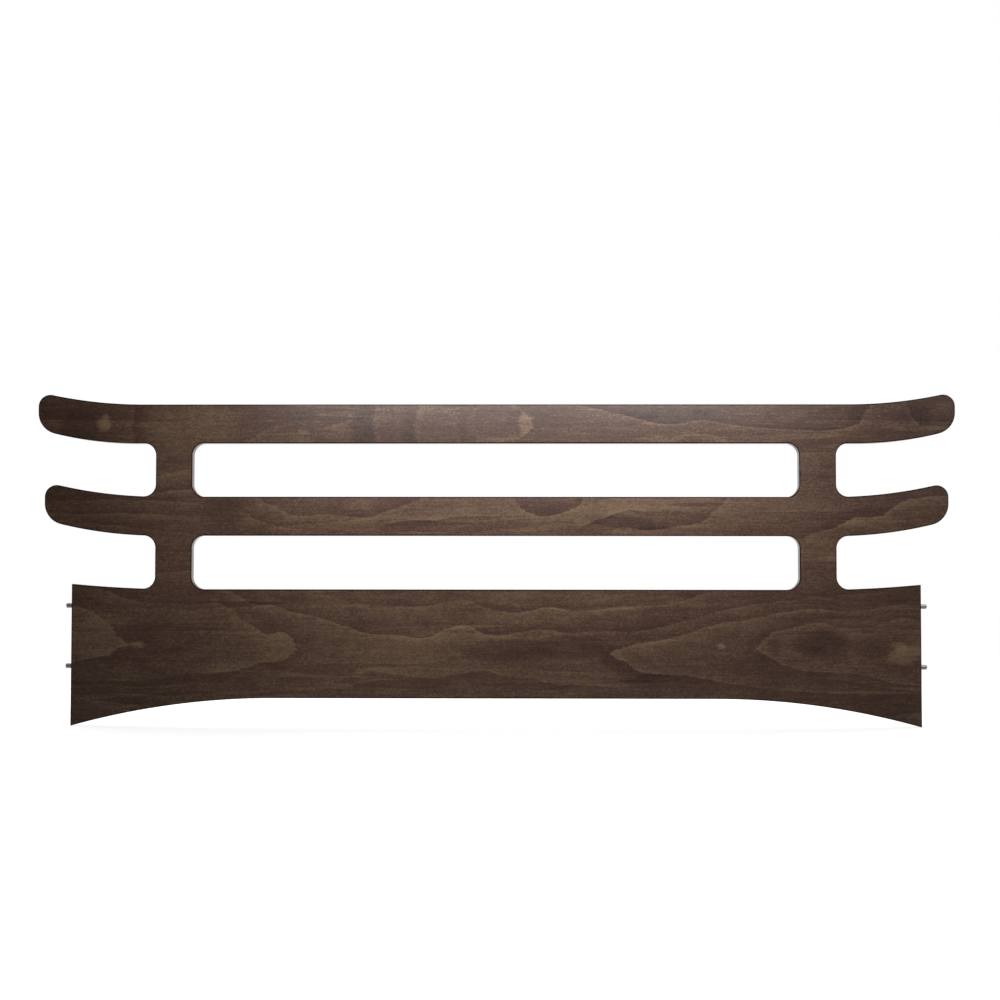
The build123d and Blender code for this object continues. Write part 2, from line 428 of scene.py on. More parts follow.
def make_ply(context, node, material):
    """Builds the smooth ply that stands for a CAD ply, and returns its object."""
    sizes = context.scene.headboard_sizes
    tree = bpy.data.node_groups.get("Ply between two depths") or ply_tree()
    inputs = [item for item in tree.interface.items_tree if item.in_out == "INPUT"]
    sockets = {item.name: item.identifier for item in inputs}
    index = PLY_NODES.index(node)
    last = len(PLY_NODES) - 1
    front = BOARD_FRONT + index * PLY_THICKNESS
    back = front + PLY_THICKNESS
    at_arris = min(front - BOARD_FRONT, BOARD_BACK - back) < sizes.arris_radius
    piece = bpy.data.objects.new(node.replace("ply", "veneer"), outline_mesh(sizes))
    context.scene.collection.objects.link(piece)
    sweep = piece.modifiers.new("Sweep", "NODES")
    sweep.node_group = tree
    values = {"Front": front, "Back": back, "Half Thickness": (BOARD_BACK - BOARD_FRONT) / 2,
              "Arris Radius": sizes.arris_radius, "Steps": ARRIS_STEPS if at_arris else 1,
              "Ease": 1.0 if index == 0 else -1.0 if index == last else 0.0, "Material": material}
    for name, value in values.items():
        sweep[sockets[name]] = value
    bake(context, piece)
    if min(abs(front), abs(back)) < sizes.bore / 2:
        cutter = bore_cutter(sizes)
        context.scene.collection.objects.link(cutter)
        cut = piece.modifiers.new("Bores", "BOOLEAN")
        cut.operation, cut.solver, cut.object = "DIFFERENCE", "MANIFOLD", cutter
        bake(context, piece)
        bpy.data.objects.remove(cutter)
    mesh = piece.data
    for name in ("inward", "spot", "share"):
        mesh.attributes.remove(mesh.attributes[name])
    mesh.materials.clear()
    mesh.materials.append(material)
    mesh.polygons.foreach_set("material_index", [0] * len(mesh.polygons))
    # Walls and arrises are smooth, the flat faces aren't
    for face in mesh.polygons:
        face.use_smooth = abs(face.normal.y) < FLAT
    mesh.set_sharp_from_angle(angle=SMOOTH_ANGLE)
    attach(piece, "root")
    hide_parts(node)
    return piece


# The figure of the front face, given in millimetres. A ring boundary is a line: early wood
# glows on one side of it and late wood darkens the other. The glow lies under an upper line, over a
# lower one, or between the two. weights are (place, strength) along the line, and soft is half the
# width over which light turns to dark. A turned ring gives its lines as (z, x) instead of (x, z),
# with the glow on the side of smaller x for an upper line.

Ring = namedtuple("Ring", "upper lower weights light dark reach soft turned",
                  defaults=(None, None, [(0, 1)], 0.6, 0.4, 20, 1.2, False))
Patch = namedtuple("Patch", "x z width height tilt light")

RINGS = [
    # Panel: tongue that enters from the left end
    Ring([(-905, 254), (-872, 248), (-846, 235), (-820, 213), (-803, 192), (-790, 181), (-778, 175),
          (-740, 168), (-720, 140)],
         [(-905, 134), (-872, 140), (-842, 146), (-825, 149), (-808, 158), (-790, 167), (-778, 171),
          (-740, 176), (-720, 200)], [(-905, 0.7), (-850, 1), (-810, 1.3), (-740, 0.6), (-720, 0)],
         0.9, 0.2, 30),
    # Long tongue that closes left of the middle
    Ring([(-905, 312), (-828, 286), (-785, 269), (-737, 262), (-686, 260), (-626, 257), (-583, 258),
          (-562, 247), (-540, 226), (-508, 207), (-495, 197), (-470, 196), (-454, 198), (-437, 188),
          (-426, 172), (-418, 163), (-370, 115)],
         [(-905, 98), (-785, 95), (-712, 100), (-652, 111), (-574, 114), (-527, 123), (-497, 135),
          (-454, 138), (-435, 148), (-418, 163), (-370, 211)],
         [(-905, 0.5), (-780, 0.6), (-700, 0.35), (-620, 0.45), (-575, 0.8), (-540, 0.7), (-490, 0.9),
          (-370, 0.9)], 0.85, 0.5, 30),
    # Long wavy boundary across the middle
    Ring([(-600, 294), (-575, 287), (-540, 272), (-510, 257), (-475, 255), (-430, 242), (-380, 232),
          (-320, 213), (-280, 198), (-200, 192), (-150, 187), (-110, 203), (-60, 212), (-25, 197),
          (0, 192), (50, 200), (100, 205), (160, 196), (220, 201), (300, 202), (350, 210), (420, 228),
          (500, 250), (600, 265), (680, 272), (740, 268), (790, 266), (850, 280)],
         None, [(-600, 0), (-540, 0.8), (-460, 0.9), (-380, 0.8), (-240, 1.1), (-130, 1), (-60, 1),
                (0, 1), (60, 0.6), (110, 0.9), (180, 0.5), (300, 0.6), (350, 0.9), (400, 0.5),
                (520, 0.8), (600, 0.5), (720, 0.6), (800, 0.3), (850, 0)], 0.8, 0.45, 24),
    # The next boundary up, brightest right of the middle
    Ring([(-410, 284), (-350, 275), (-290, 258), (-200, 252), (-150, 254), (-100, 264), (-60, 267),
          (-20, 252), (40, 240), (90, 248), (120, 252), (160, 245), (210, 246), (260, 252), (330, 253),
          (380, 261), (450, 285)],
         None, [(-410, 0), (-340, 0.6), (-260, 0.4), (-190, 0.8), (-90, 0.6), (-30, 0.8), (40, 0.8),
                (110, 1.3), (150, 1.2), (210, 1), (280, 0.9), (330, 0.4), (390, 0.5), (430, 0.9),
                (450, 0)], 0.8, 0.35, 22),
    # Low boundary in the middle
    Ring(None, [(-460, 103), (-350, 106), (-300, 108), (-265, 116), (-200, 108), (-120, 103),
                (-60, 113), (-20, 116), (30, 106), (80, 101), (120, 90), (200, 88), (300, 78),
                (420, 71)],
         [(-460, 0), (-420, 0.6), (-330, 0.3), (-250, 0.8), (-150, 0.9), (-90, 0.6), (-20, 0.9),
          (60, 0.4), (120, 0.8), (180, 1), (250, 0.7), (330, 0.3), (420, 0)], 0.65, 0.45, 20),
    # Tongue that opens towards the right end
    Ring([(200, 112), (243, 155), (252, 161), (268, 166), (290, 173), (340, 180), (400, 195),
          (460, 215), (540, 227), (600, 240), (660, 249), (740, 244), (790, 248), (850, 259), (905, 255)],
         [(200, 198), (243, 155), (258, 146), (275, 139), (300, 121), (340, 112), (400, 108),
          (450, 100), (520, 88), (600, 78), (905, 70)],
         [(200, 1.1), (300, 1.1), (400, 0.7), (520, 0.6), (660, 0.7), (760, 0.6), (820, 0.7),
          (905, 0.4)], 0.85, 0.6, 24),
    # Eye inside that tongue
    Ring([(510, 124), (550, 163), (565, 180), (585, 197), (630, 208), (680, 219), (740, 209),
          (800, 213), (850, 229), (905, 222)],
         [(510, 204), (550, 163), (580, 150), (610, 132), (650, 120), (720, 115), (780, 108),
          (840, 94), (905, 88)],
         [(510, 1.1), (600, 1), (680, 0.8), (780, 0.6), (850, 0.8), (905, 0.7)], 0.75, 0.35, 26),
    # Fine lines along the panel, below the tongues and at the upper right
    Ring([(-905, 87), (-830, 88), (-740, 83), (-640, 92), (-560, 90)], None,
         [(-905, 0.9), (-800, 0.5), (-640, 0.7), (-560, 0)], 0.5, 0.5, 7),
    Ring([(-905, 66), (-850, 67), (-740, 68), (-680, 64), (-600, 70), (-500, 76)], None,
         [(-905, 0.5), (-850, 0.2), (-700, 1), (-620, 0.3), (-500, 0.7)], 0.45, 0.45, 7),
    Ring([(-905, 45), (-860, 46), (-790, 42), (-740, 48)], None,
         [(-905, 0.9), (-850, 0), (-790, 0.8), (-740, 0)], 0.5, 0.4, 6),
    Ring([(-440, 92), (-330, 90), (-180, 78), (-60, 84), (60, 76)], None,
         [(-440, 0), (-330, 0.6), (-180, 0.8), (-60, 0.3), (60, 0.6)], 0.4, 0.4, 8),
    Ring([(430, 262), (520, 268), (600, 280), (680, 276), (760, 280), (840, 288)], None,
         [(430, 0), (520, 0.6), (600, 0.3), (700, 0.7), (840, 0.4)], 0.5, 0.4, 8),
    Ring([(560, 246), (640, 258), (700, 257), (760, 253), (830, 262), (905, 266)], None,
         [(560, 0), (640, 0.7), (760, 0.5), (905, 0.6)], 0.5, 0.4, 7),
    Ring([(640, 228), (700, 228), (770, 226), (840, 240), (905, 240)], None,
         [(640, 0), (700, 0.6), (770, 0.3), (905, 0.7)], 0.5, 0.4, 8),
    Ring(None, [(620, 106), (720, 100), (780, 92), (850, 80), (905, 76)],
         [(620, 0), (720, 0.6), (905, 0.8)], 0.4, 0.4, 9),
    # Top rail: upright bands left of the middle
    Ring([(595, -772), (612, -768), (632, -776), (650, -772), (668, -768), (705, -770)], light=0.55,
         dark=0.55, reach=22, soft=4, turned=True),
    Ring([(-375, 628), (-352, 638), (-330, 643), (-318, 650), (-311, 662), (-300, 680), (-290, 700)],
         None, [(-375, 0), (-350, 0.8), (-290, 0.8)], 0.6, 0.4, 22, soft=3),
    Ring(None, [(595, -250), (640, -258), (705, -254)], light=0.45, dark=0.4, reach=30, soft=4,
         turned=True),
    Ring(None, [(595, -168), (625, -173), (650, -172), (680, -158), (705, -150)], light=0.45,
         dark=0.4, reach=20, soft=3, turned=True),
    # Top rail: slanting patch edge, oval at mid length
    Ring([(-560, 590), (-525, 606), (-500, 620), (-460, 639), (-420, 648)], None,
         [(-560, 0), (-520, 0.9), (-460, 0.7), (-420, 0)], 0.55, 0.35, 14, soft=3),
    Ring([(-80, 570), (-62, 640), (-44, 672), (-10, 688), (30, 688), (58, 668), (78, 640), (90, 590)],
         [(-80, 700), (-62, 640), (-44, 616), (-10, 606), (30, 606), (58, 614), (78, 640), (90, 700)],
         [(-80, 0.5), (0, 0.7), (50, 1.3), (90, 1.3)], 0.55, 0.1, 9, soft=3),
    # Top rail: long boundary that climbs off the upper edge
    Ring([(60, 720), (195, 678), (225, 672), (260, 662), (300, 654), (340, 644), (375, 640), (420, 647),
          (450, 648), (500, 639), (550, 634), (620, 630), (690, 627), (740, 632), (770, 643),
          (782, 658), (795, 680), (820, 720)], None,
         [(60, 0), (190, 0.8), (300, 1.1), (380, 1), (430, 0.6), (560, 0.8), (700, 1.1), (820, 1.1)],
         0.85, 0.5, 22),
    Ring([(690, 700), (712, 672), (725, 662), (740, 690), (745, 700)], light=0.35, dark=0.1,
         reach=10, soft=2),
    Ring([(866, 710), (872, 684), (878, 668), (888, 651), (900, 641), (930, 637), (980, 634)], None,
         [(866, 1), (940, 1), (980, 0.5)], 0.8, 0.45, 26, soft=2),
    Ring([(360, 604), (390, 615), (425, 621), (460, 617), (490, 608), (520, 600)], light=0.5, dark=0.2,
         reach=14),
    # Second rail
    Ring([(-960, 452), (-880, 449), (-800, 452), (-700, 447), (-640, 443), (-580, 443)], None,
         [(-960, 0.6), (-700, 0.9), (-580, 0)], 0.55, 0.3, 9),
    Ring([(-970, 478), (-850, 478), (-760, 479), (-660, 474), (-600, 476)], None,
         [(-970, 0.5), (-700, 0.8), (-600, 0)], 0.5, 0.4, 12),
    Ring([(-510, 486), (-470, 465), (-430, 447), (-350, 448), (-270, 443), (-220, 458), (-180, 472),
          (-140, 486)], None, [(-510, 0.7), (-400, 1), (-300, 1.1), (-140, 0.8)], 0.7, 0.45, 18),
    Ring(None, [(-240, 424), (-200, 434), (-130, 436), (-80, 443), (20, 444)],
         [(-240, 0), (-200, 0.9), (-80, 1), (20, 0)], 0.6, 0.55, 16),
    Ring([(20, 520), (50, 469), (80, 450), (105, 445), (150, 455), (185, 475), (205, 510)],
         light=0.65, dark=0.8, reach=18),
    Ring(None, [(170, 420), (200, 430), (250, 448), (285, 458), (310, 456), (350, 451)],
         [(170, 0), (200, 1), (300, 0.9), (350, 0)], 0.65, 0.55, 16),
    Ring([(240, 411), (270, 422), (310, 416), (370, 420), (420, 428), (450, 440), (475, 465),
          (500, 486)], None, [(240, 0), (280, 0.8), (430, 1), (500, 0.8)], 0.65, 0.6, 18),
    Ring([(620, 388), (680, 410), (720, 422), (755, 440), (820, 448), (860, 475), (890, 483),
          (965, 487)], None, [(620, 0), (690, 0.9), (760, 1.3), (850, 1.2), (965, 0.8)], 0.9, 0.45, 28),
    Ring([(-960, 436), (-880, 431), (-800, 424), (-720, 415), (-640, 409)], None,
         [(-960, 0.4), (-860, 0.9), (-720, 0.7), (-640, 0)], 0.4, 0.5, 6),
    Ring([(-570, 478), (-540, 455), (-510, 439), (-480, 428), (-440, 419), (-380, 416)], None,
         [(-570, 0), (-530, 0.9), (-440, 0.9), (-380, 0)], 0.45, 0.5, 8),
    Ring([(-500, 416), (-442, 424), (-360, 430), (-293, 437), (-225, 447), (-160, 458)], None,
         [(-500, 0), (-440, 0.8), (-225, 0.8), (-160, 0)], 0.4, 0.4, 7),
    # Left post
    Ring([(-740, 524), (-715, 531), (-680, 537), (-650, 545), (-620, 550)], light=0.7, dark=0.15,
         reach=7),
    Ring([(-740, 490), (-690, 497), (-650, 503), (-620, 506)], light=0.6, dark=0.25, reach=8),
    Ring([(-740, 320), (-715, 323), (-650, 328), (-620, 330)], light=0.7, dark=0.2, reach=9),
]

PATCHES = [
    # Panel
    Patch(-757, 172, 30, 15, 0, 0.9), Patch(-455, 172, 60, 44, 0, 0.2),
    Patch(-609, 199, 5, 3, 20, -2.5), Patch(-500, 236, 90, 30, -35, -0.25),
    Patch(-720, 190, 220, 70, 0, -0.2), Patch(-852, 195, 150, 90, 0, 0.32),
    Patch(478, 170, 18, 12, 0, 1.1), Patch(868, 153, 76, 36, 10, 0.9),
    Patch(856, 168, 34, 20, -20, 0.7), Patch(562, 167, 36, 26, 0, 0.4),
    Patch(690, 176, 110, 50, 0, -0.65), Patch(800, 165, 80, 40, 0, -0.3),
    Patch(30, 160, 190, 46, 0, -0.55), Patch(160, 168, 150, 44, 0, -0.6),
    Patch(330, 98, 240, 34, -3, -0.25), Patch(255, 128, 60, 26, -30, -0.25),
    Patch(0, 225, 260, 34, 0, 0.25), Patch(100, 272, 320, 26, 0, 0.35),
    Patch(0, 170, 2000, 330, 0, 0.1), Patch(-340, 165, 640, 300, 0, 0.18),
    Patch(575, 170, 60, 50, 0, -0.3),
    # Top rail
    Patch(-835, 640, 27, 30, 20, 1.2), Patch(-831, 657, 9, 14, -25, 0.9),
    Patch(-408, 624, 24, 9, -10, 0.7), Patch(-885, 635, 80, 70, 0, -0.4),
    Patch(-660, 640, 190, 120, 0, 0.45), Patch(-282, 640, 50, 130, 0, -0.5),
    Patch(-235, 650, 50, 120, 0, -0.25), Patch(-186, 640, 30, 130, 0, -0.25),
    Patch(-68, 640, 16, 80, 0, -0.3), Patch(50, 640, 1500, 200, 0, -0.15),
    Patch(64, 643, 28, 44, 0, 0.95), Patch(20, 606, 130, 16, 0, 0.4),
    Patch(630, 655, 70, 12, 5, 0.4), Patch(335, 608, 70, 14, 0, 0.45),
    Patch(310, 650, 60, 14, 15, -0.4), Patch(440, 662, 50, 18, 0, -0.4),
    Patch(768, 662, 44, 36, 25, -0.35), Patch(892, 655, 60, 60, 20, -0.35),
    Patch(950, 672, 50, 34, 0, 0.3),
    # Second rail
    Patch(50, 443, 1700, 150, 0, 0.25), Patch(-290, 470, 70, 22, 0, 0.3),
    Patch(-575, 455, 80, 60, 0, -0.35), Patch(-170, 470, 90, 60, 0, -0.2),
    Patch(300, 450, 220, 80, 0, 0.15), Patch(110, 468, 90, 26, 0, -0.25),
    Patch(280, 430, 170, 26, -6, -0.5),
    # Posts
    Patch(-684, 545, 110, 120, 0, 0.2), Patch(-684, 345, 110, 130, 0, 0.3),
    Patch(684, 345, 110, 130, 0, 0.25),
]


def along_x(node, points, x_low, x_high):
    """Bends a float curve through points given as (x, value), over the stated range of x."""
    curve = node.mapping.curves[0]
    spots = [((x - x_low) / (x_high - x_low), value) for x, value in points]
    curve.points[0].location, curve.points[1].location = spots[0], spots[-1]
    for spot in spots[1:-1]:
        curve.points.new(*spot)
    node.mapping.extend = "HORIZONTAL"
    node.mapping.update()
    return node


def ring_tree():
    """One ring boundary: a bright line and a glow on one side of it, a dark shade on the other."""
    tree = node_tree("Growth ring", "ShaderNodeTree", [
        ("So Far", "NodeSocketFloat", 0.0), ("Distance", "NodeSocketFloat", 0.0),
        ("Light", "NodeSocketFloat", 0.5), ("Dark", "NodeSocketFloat", 0.3),
        ("Reach", "NodeSocketFloat", 0.025), ("Soft", "NodeSocketFloat", 0.0012),
        ("Weight", "NodeSocketFloat", 1.0),
    ], [("Tone", "NodeSocketFloat")])
    given = add(tree, "NodeGroupInput").outputs
    away = add(tree, "ABSOLUTE", given["Distance"])
    share = add(tree, "DIVIDE", away, given["Reach"])
    broad = add(tree, "POWER", math.exp(-1.0), share)
    share = add(tree, "DIVIDE", away, BRIGHT_LINE)
    line = add(tree, "POWER", math.exp(-1.0), share)
    glow = add(tree, "MULTIPLY", broad, 0.5)
    glow = add(tree, "MULTIPLY_ADD", line, 0.6, glow)
    glow = add(tree, "MULTIPLY", glow, given["Light"])
    shade = add(tree, "MULTIPLY", given["Dark"], -1.0)
    shade = add(tree, "MULTIPLY", broad, shade)
    before = add(tree, "MULTIPLY", given["Soft"], -1.0)
    tone = add(tree, "ShaderNodeMapRange", given["Distance"], before, given["Soft"], shade, glow,
               interpolation_type="SMOOTHSTEP")
    total = add(tree, "MULTIPLY_ADD", tone, given["Weight"], given["So Far"])
    add(tree, "NodeGroupOutput", total)
    return tree


def growth_ring(tree, tone, distance, ring, weight):
    """Adds one ring boundary to a tone."""
    group = bpy.data.node_groups.get("Growth ring") or ring_tree()
    return add(tree, "ShaderNodeGroup", tone, distance, ring.light, ring.dark, ring.reach / 1000,
               ring.soft / 1000, weight, node_tree=group)


def figure(tree, place, tone):
    """Adds the ring boundaries and patches of the front face to a tone."""
    axes = add(tree, "ShaderNodeSeparateXYZ", place)
    for ring in RINGS:
        run, rise = axes.outputs["X"], axes.outputs["Z"]
        if ring.turned:
            run, rise = rise, run
        ends = ring.upper or ring.lower
        low, high = ends[0][0], ends[-1][0]
        share = add(tree, "ShaderNodeMapRange", run, low / 1000, high / 1000)
        sides = []
        for line in (ring.upper, ring.lower):
            if line:
                points = [(at, (value + 1000) / 2000) for at, value in line]
                height = along_x(add(tree, "ShaderNodeFloatCurve", Value=share), points, low, high)
                height = add(tree, "MULTIPLY_ADD", height, 2.0, -1.0)
                pair = (height, rise) if line is ring.upper else (rise, height)
                sides.append(add(tree, "SUBTRACT", *pair))
        distance = sides[0]
        if len(sides) == 2:
            distance = add(tree, "SMOOTH_MIN", *sides, 0.008)
        weight = 1.0
        if len(ring.weights) > 1:
            points = [(at, value / 2) for at, value in ring.weights]
            weight = along_x(add(tree, "ShaderNodeFloatCurve", Value=share), points, low, high)
            weight = add(tree, "MULTIPLY", weight, 2.0)
        inside = add(tree, "COMPARE", run, (low + high) / 2000, (high - low) / 2000)
        weight = add(tree, "MULTIPLY", inside, weight)
        tone = growth_ring(tree, tone, distance, ring, weight)
    for patch in PATCHES:
        turn = math.radians(patch.tilt)
        squares = 0.0
        for way_x, way_z, half in ((math.cos(turn), math.sin(turn), patch.width / 2000),
                                   (-math.sin(turn), math.cos(turn), patch.height / 2000)):
            start = -(way_x * patch.x + way_z * patch.z) / 1000 / half
            along = add(tree, "MULTIPLY_ADD", axes.outputs["Z"], way_z / half, start)
            along = add(tree, "MULTIPLY_ADD", axes.outputs["X"], way_x / half, along)
            squares = add(tree, "MULTIPLY_ADD", along, along, squares)
        spread = add(tree, "ShaderNodeMapRange", squares, 0.25, 1.8, patch.light, 0.0,
                     interpolation_type="SMOOTHSTEP")
        tone = add(tree, "ADD", tone, spread)
    return tone


def new_material(name):
    """An empty material with an output, and its node tree."""
    material = bpy.data.materials.new(name)
    material.use_nodes = True
    material.node_tree.nodes.clear()
    return material, material.node_tree


def noise(tree, place, along, across, detail=2.0):
    """Noise about zero, mostly within one unit, with grains of these lengths along X and across."""
    mapping = add(tree, "ShaderNodeMapping", Vector=place, Scale=(1 / along, 1 / across, 1 / across))
    grains = add(tree, "ShaderNodeTexNoise", Vector=mapping, Scale=1.0, Detail=detail)
    return add(tree, "ShaderNodeMapRange", grains.outputs[0], 0.25, 0.75, -1.0, 1.0, clamp=False)


def mottle(tree, place, tone, along, across, amount, detail=2.0):
    """Adds noise to a tone."""
    return add(tree, "MULTIPLY_ADD", noise(tree, place, along, across, detail), amount, tone)


def wood_surface(tree, finish, spot, tone):
    """The stain that a tone from -1 (late wood) to 1 (early wood) takes, under satin lacquer."""
    # Long fibre streaks, shorter ones and ray flecks
    tone = mottle(tree, spot, tone, 0.060, 0.0030, 0.28)
    tone = mottle(tree, spot, tone, 0.014, 0.0045, 0.30)
    tone = mottle(tree, spot, tone, 0.0050, 0.0026, 0.55, 1.0)
    # Painted shade: each rounded arris is painted near black and loses its gloss, for a dark outline
    # along the edges
    turned = add(tree, "ShaderNodeNewGeometry").outputs["Normal"]
    turned = add(tree, "ShaderNodeVectorMath", turned, (0.0, 1.0, 0.0), operation="DOT_PRODUCT")
    turned = add(tree, "ABSOLUTE", turned.outputs["Value"])
    arris = add(tree, "ShaderNodeMapRange", turned, 0.965, 0.998, 1.0, 0.0)
    tone = add(tree, "MULTIPLY_ADD", arris, -3.0, tone)
    gloss = add(tree, "ShaderNodeMapRange", arris, 0.0, 1.0, 0.5, 0.0)
    share = add(tree, "ShaderNodeMapRange", tone, -2.0, 2.0)
    stain = add(tree, "ShaderNodeValToRGB", share)
    # The darkest end, 0.3 of the late wood, is mostly where the painted arris shade lands
    stain.color_ramp.elements[0].color = [0.3 * value for value in finish.stain_dark]
    stain.color_ramp.elements[1].color = [1.45 * value for value in finish.stain_light]
    shades = ((0.25, finish.stain_dark), (0.5, finish.stain_mid), (0.75, finish.stain_light))
    for place, shade in shades:
        stain.color_ramp.elements.new(place).color = shade
    pores = add(tree, "ShaderNodeMapping", Vector=spot, Scale=(300.0, 900.0, 900.0))
    pores = add(tree, "ShaderNodeTexNoise", Vector=pores, Scale=1.0, Detail=1.0)
    bump = add(tree, "ShaderNodeBump", Height=pores.outputs[0], Strength=0.15, Distance=0.0002)
    surface = add(tree, "ShaderNodeBsdfPrincipled", Base_Color=stain,
                  Roughness=LACQUER_ROUGHNESS, Specular_IOR_Level=gloss, Normal=bump)
    add(tree, "ShaderNodeOutputMaterial", Surface=surface)


def wandering(tree, spot, along, across, amount):
    """A place shifted by noise of these grain lengths, by up to half of amount (x, y, z)."""
    mapping = add(tree, "ShaderNodeMapping", Vector=spot, Scale=(1 / along, 1 / across, 1 / across))
    shift = add(tree, "ShaderNodeTexNoise", Vector=mapping, Scale=1.0, Detail=5.0, Roughness=0.62)
    shift = add(tree, "ShaderNodeVectorMath", shift.outputs["Color"], (0.5, 0.5, 0.5),
                operation="SUBTRACT")
    shift = add(tree, "ShaderNodeVectorMath", shift, amount, operation="MULTIPLY")
    return add(tree, "ShaderNodeVectorMath", spot, shift, operation="ADD")


def faint_rings(tree, spot, tone):
    """Adds narrow ring boundaries that run nearly along the board, strong in some places only."""
    place = wandering(tree, spot, 0.10, 0.05, (0.008, 0.0, 0.004))
    height = noise(tree, place, 0.55, 0.030, 1.0)
    distance = add(tree, "MULTIPLY", height, 0.020)
    strength = noise(tree, spot, 0.30, 0.09, 1.0)
    strength = add(tree, "ShaderNodeMapRange", strength, -0.3, 0.6, 0.25, 1.0)
    return growth_ring(tree, tone, distance, Ring(light=0.45, dark=0.3, reach=7), strength)


def face_veneer(finish):
    """Rotary-cut beech, stained and satin lacquered: broad wandering ring figure, fine fibres along
    the board and short ray flecks."""
    material, tree = new_material("Rotary-cut beech veneer, spirit stained, satin lacquer")
    spot = add(tree, "ShaderNodeTexCoord").outputs["Object"]
    tone = mottle(tree, spot, 0.0, 0.22, 0.09, 0.20)
    tone = mottle(tree, spot, tone, 0.045, 0.022, 0.16)
    tone = faint_rings(tree, spot, tone)
    place = wandering(tree, spot, 0.060, 0.024, (0.016, 0.0, 0.008))
    # Fibres carry the colour of a ring a little past its boundary
    place = wandering(tree, place, 0.030, 0.0025, (0.036, 0.0, 0.001))
    tone = figure(tree, place, tone)
    wood_surface(tree, finish, spot, tone)
    return material


def back_veneer(finish):
    """The other face of the same board, with its own figure: long lazy cathedral rings."""
    material, tree = new_material("Rotary-cut beech veneer, back of the board, spirit stained")
    spot = add(tree, "ShaderNodeTexCoord").outputs["Object"]
    place = wandering(tree, spot, 0.060, 0.024, (0.010, 0.0, 0.005))
    swell = noise(tree, place, 0.45, 0.16, 2.0)
    axes = add(tree, "ShaderNodeSeparateXYZ", place)
    rings = add(tree, "MULTIPLY", axes.outputs["Z"], 9.0)
    rings = add(tree, "MULTIPLY_ADD", swell, 2.2, rings)
    phase = add(tree, "FRACT", rings)
    # Each ring lightens abruptly at its boundary and then darkens slowly
    tone = add(tree, "ShaderNodeFloatCurve", Value=phase)
    fade = [(0.0, 0.25), (0.03, 0.95), (0.12, 0.7), (0.4, 0.5), (0.8, 0.4), (1.0, 0.25)]
    along_x(tone, fade, 0.0, 1.0)
    tone = add(tree, "MULTIPLY_ADD", tone, 1.2, -0.6)
    tone = mottle(tree, spot, tone, 0.22, 0.09, 0.20)
    wood_surface(tree, finish, spot, tone)
    return material


def ply_edge(finish, fibres):
    """Sanded edge of one veneer in the stack, fibres along X or Z: where it is cut across its
    fibres it drinks the stain and reads dark, where it is cut along them it reads lighter."""
    name = "long" if fibres.x else "cross"
    material, tree = new_material(f"Sanded beech ply edge, {name} grain, stained")
    spot = add(tree, "ShaderNodeTexCoord").outputs["Object"]
    normal = add(tree, "ShaderNodeNewGeometry").outputs["Normal"]
    facing = add(tree, "ShaderNodeVectorMath", normal, tuple(fibres), operation="DOT_PRODUCT")
    across = add(tree, "ABSOLUTE", facing.outputs["Value"])
    drinks = add(tree, "ShaderNodeMapRange", across, 0.25, 0.85, interpolation_type="SMOOTHSTEP")
    drinks = mottle(tree, spot, drinks, 0.006, 0.006, 0.15)
    wood = add(tree, "ShaderNodeMix", drinks, finish.side_grain, finish.end_grain, data_type="RGBA")
    # Glue line at each face of the ply
    depth = add(tree, "ShaderNodeSeparateXYZ", spot).outputs["Y"]
    count = add(tree, "ADD", depth, -BOARD_FRONT)
    count = add(tree, "DIVIDE", count, PLY_THICKNESS)
    near = add(tree, "PINGPONG", count, 1.0)
    edge = add(tree, "FRACT", near)
    line = add(tree, "SUBTRACT", edge, 0.5)
    line = add(tree, "ABSOLUTE", line)
    line = add(tree, "ShaderNodeMapRange", line, 0.44, 0.49)
    paint = add(tree, "ShaderNodeMix", line, wood, finish.glue, data_type="RGBA")
    surface = add(tree, "ShaderNodeBsdfPrincipled", Base_Color=paint,
                  Roughness=EDGE_ROUGHNESS)
    add(tree, "ShaderNodeOutputMaterial", Surface=surface)
    return material


def turned_steel(finish):
    """Turned mild steel: bright, with fine rings round the pin that stretch its highlights."""
    material, tree = new_material("Turned mild steel")
    spot = add(tree, "ShaderNodeTexCoord").outputs["Object"]
    rings = add(tree, "ShaderNodeMapping", Vector=spot, Scale=(9000.0, 200.0, 200.0))
    grooves = add(tree, "ShaderNodeTexNoise", Vector=rings, Scale=1.0, Detail=2.0)
    rough = add(tree, "ShaderNodeMapRange", grooves.outputs[0], 0.3, 0.7, 0.32, 0.42)
    bump = add(tree, "ShaderNodeBump", Height=grooves.outputs[0], Strength=0.1,
               Distance=0.00005)
    surface = add(tree, "ShaderNodeBsdfPrincipled", Base_Color=finish.steel, Metallic=1.0,
                  Roughness=rough, Normal=bump)
    add(tree, "ShaderNodeOutputMaterial", Surface=surface)
    return material


